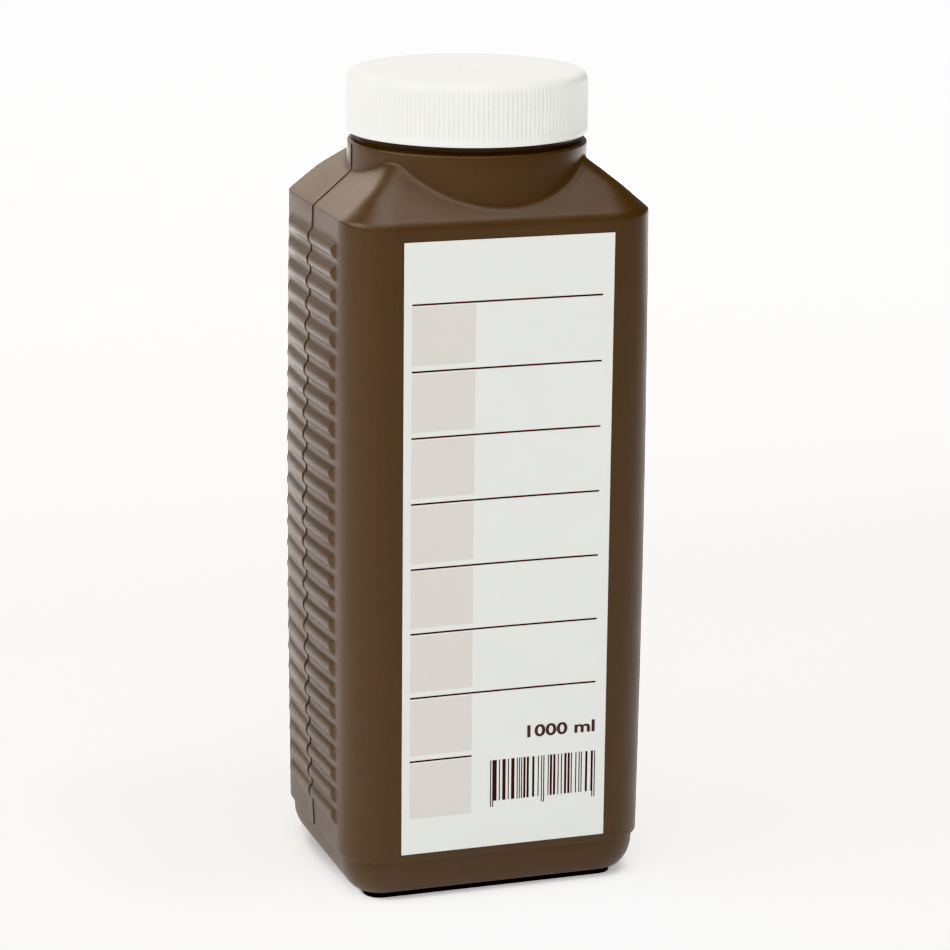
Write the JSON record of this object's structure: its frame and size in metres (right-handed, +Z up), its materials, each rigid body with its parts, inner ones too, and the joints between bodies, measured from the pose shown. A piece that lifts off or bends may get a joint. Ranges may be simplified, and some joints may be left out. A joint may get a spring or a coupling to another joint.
{
  "type": "wide-mouth storage bottle with screw cap",
  "caption": "Rectangular wide-mouth plastic bottle for darkroom chemicals, with rolled side grips, hipped shoulder, ribbed screw cap, sealing liner and front label.",
  "frame": {"origin": "under the middle of the base, on the surface that the bottle stands on", "axes": "+Z up along the neck's axis, -Y out of the front face that carries the label, X across the rolled side grips"},
  "size_m": [0.09, 0.0699, 0.2175],
  "materials": {
    "brown_polyethylene": "fine matt grain, slightly glossy where the light grazes it",
    "white_polypropylene": "satin, injection moulded",
    "white_foam": "matt foam sheet",
    "printed_paper": "smooth coated label stock with dark brown print"
  },
  "bodies": {
    "bottle": {"bottle": "brown_polyethylene", "front_label": "printed_paper"},
    "liner": {"cap_liner": "white_foam"},
    "cap": {"cap": "white_polypropylene"}
  },
  "joints": [
    {"name": "liner_lift", "type": "slide", "parent": "bottle", "child": "liner", "axis": [0, 0, 1], "range_m": [0, 0.0135]},
    {"name": "cap_turn", "type": "hinge", "parent": "liner", "child": "cap", "pos_m": [0, 0, 0.2025], "axis": [0, 0, 1], "range_deg": [0, 1080]}
  ],
  "couplings": [
    {"joint": "liner_lift", "follows": "cap_turn", "m_per_rad": 0.0007162}
  ]
}
